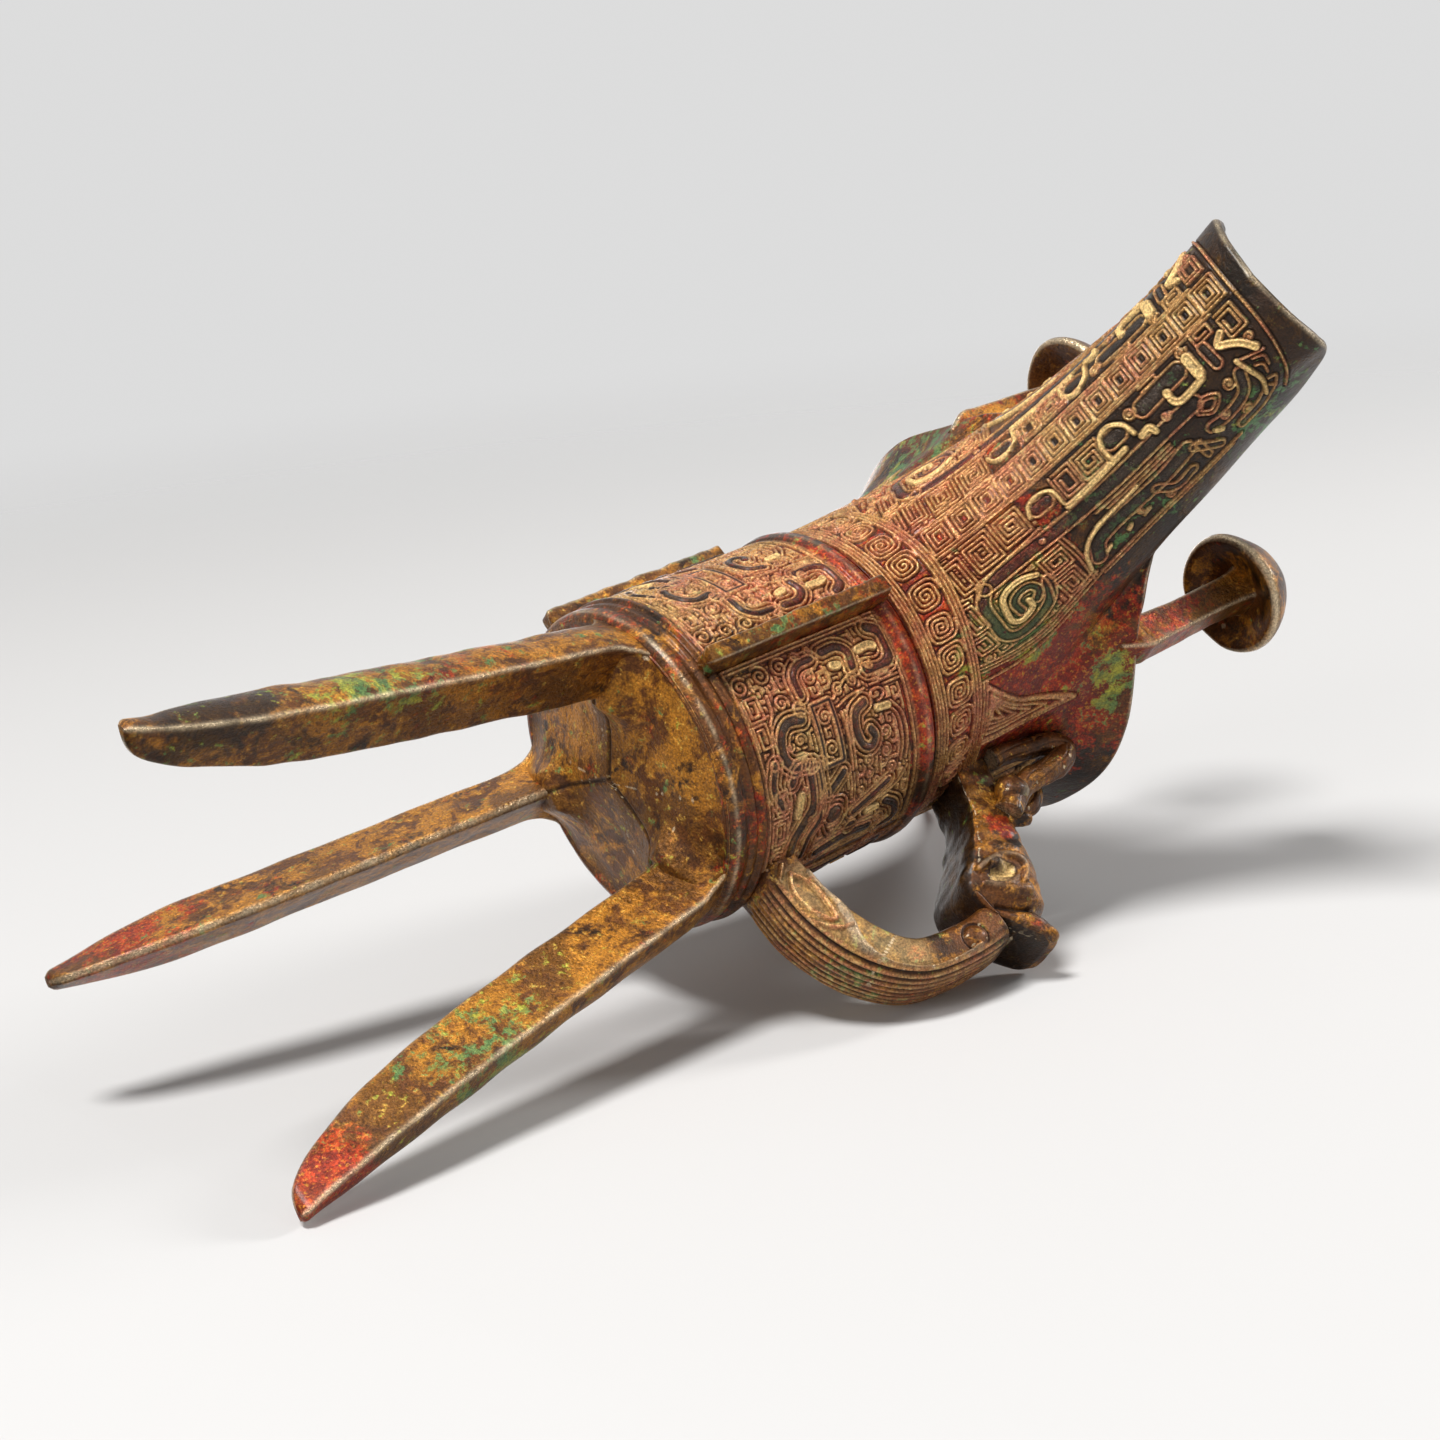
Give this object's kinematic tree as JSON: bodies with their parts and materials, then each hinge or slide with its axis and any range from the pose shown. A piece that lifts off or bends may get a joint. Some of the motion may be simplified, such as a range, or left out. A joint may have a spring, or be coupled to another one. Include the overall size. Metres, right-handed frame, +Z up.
{
  "type": "ritual tripod cup",
  "caption": "Bronze ritual wine cup with a deep round belly, long channel spout, pointed tail, capped posts, beast-head handle and splayed blade legs",
  "frame": {"origin": "centre of the bounding box at the level of the three foot soles, on the surface that the cup stands on", "axes": "+Z up along the cup's axis, -X towards the tip of the spout, +X towards the tail, -Y towards the handle"},
  "size_m": [0.1666, 0.0956, 0.2082],
  "materials": {
    "body_bronze": "dark waxed bronze with brown, red and green patina and pale lines in the grooves",
    "flange_bronze": "green-brown patinated bronze, worn on the edges",
    "leg_bronze": "ochre-brown bronze with olive and red patina, worn bright on the ridges",
    "post_bronze": "reddish-brown patinated bronze",
    "cap_bronze": "dark brown patinated bronze",
    "handle_bronze": "dark brown bronze with pale patina in the grooves"
  },
  "bodies": {
    "root": {"cup_belly": "body_bronze", "cup_mouth": "body_bronze", "spout": "body_bronze", "tail": "body_bronze", "front_flange": "flange_bronze", "back_flange": "flange_bronze", "tail_flange": "flange_bronze", "leg_1": "leg_bronze", "leg_2": "leg_bronze", "leg_3": "leg_bronze", "near_post": "post_bronze", "near_post_cap": "cap_bronze", "far_post": "post_bronze", "far_post_cap": "cap_bronze", "handle_strap": "handle_bronze", "beast_head": "handle_bronze", "left_horn": "handle_bronze", "right_horn": "handle_bronze"}
  },
  "joints": []
}
